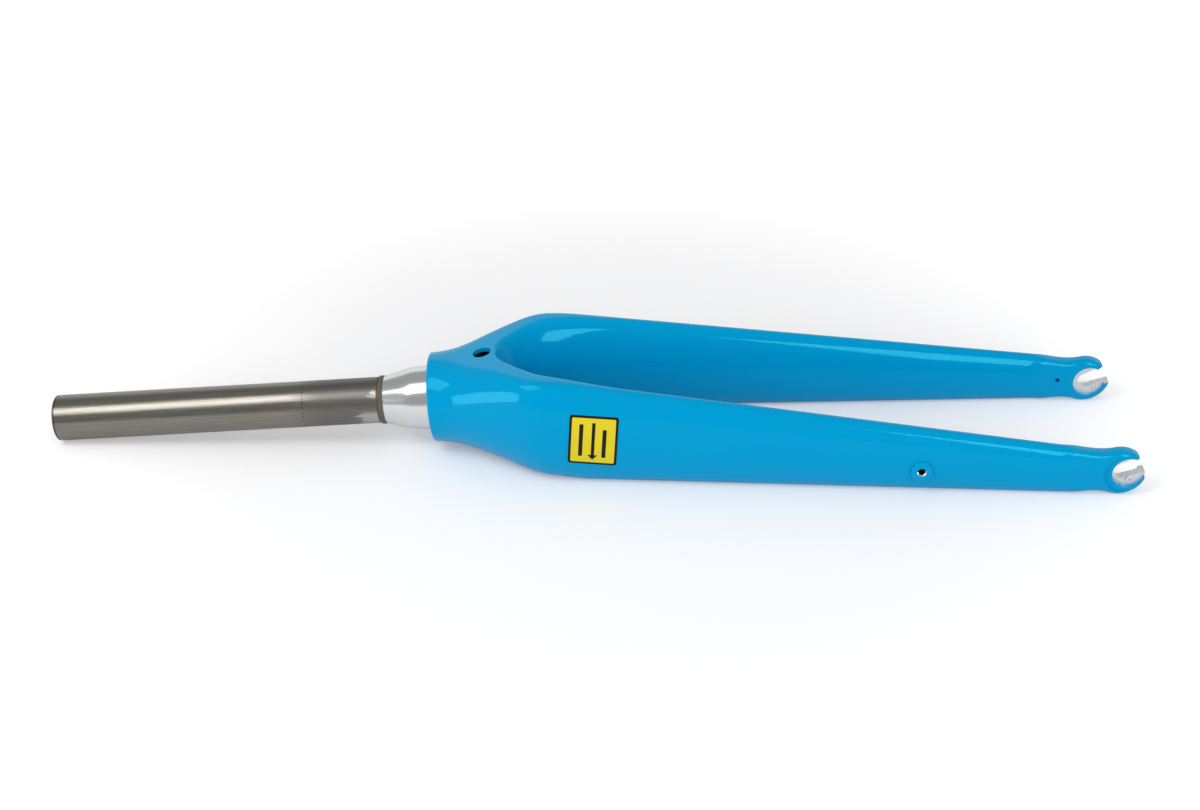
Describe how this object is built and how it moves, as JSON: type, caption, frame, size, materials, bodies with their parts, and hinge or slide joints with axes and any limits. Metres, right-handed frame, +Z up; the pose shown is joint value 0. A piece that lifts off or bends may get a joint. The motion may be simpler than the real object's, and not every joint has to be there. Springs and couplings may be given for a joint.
{
  "type": "bicycle fork",
  "caption": "Rigid bicycle fork: bare tapered steerer, smooth painted crown with a wheel arch, deep straight blades and slotted dropouts.",
  "frame": {"origin": "centre of the bounding box on the plane that the fork lies on", "axes": "+X from the steerer towards the dropouts, +Y towards the fork's right leg, +Z up, towards the fork's rear"},
  "size_m": [0.6643, 0.122, 0.0668],
  "materials": {
    "blue_paint": "gloss",
    "bare_steel": "satin, drawn and stained",
    "bare_aluminium": "turned and polished",
    "adhesive": "matte",
    "label_print": "gloss, with a black border and arrow"
  },
  "bodies": {
    "root": {"steerer_tube": "bare_steel", "joint_ring": "adhesive", "lower_steerer": "bare_aluminium", "crown": "blue_paint", "left_blade": "blue_paint", "right_blade": "blue_paint", "left_dropout": "blue_paint", "right_dropout": "blue_paint", "left_boss": "blue_paint", "right_boss": "blue_paint", "direction_label": "label_print"}
  },
  "joints": []
}
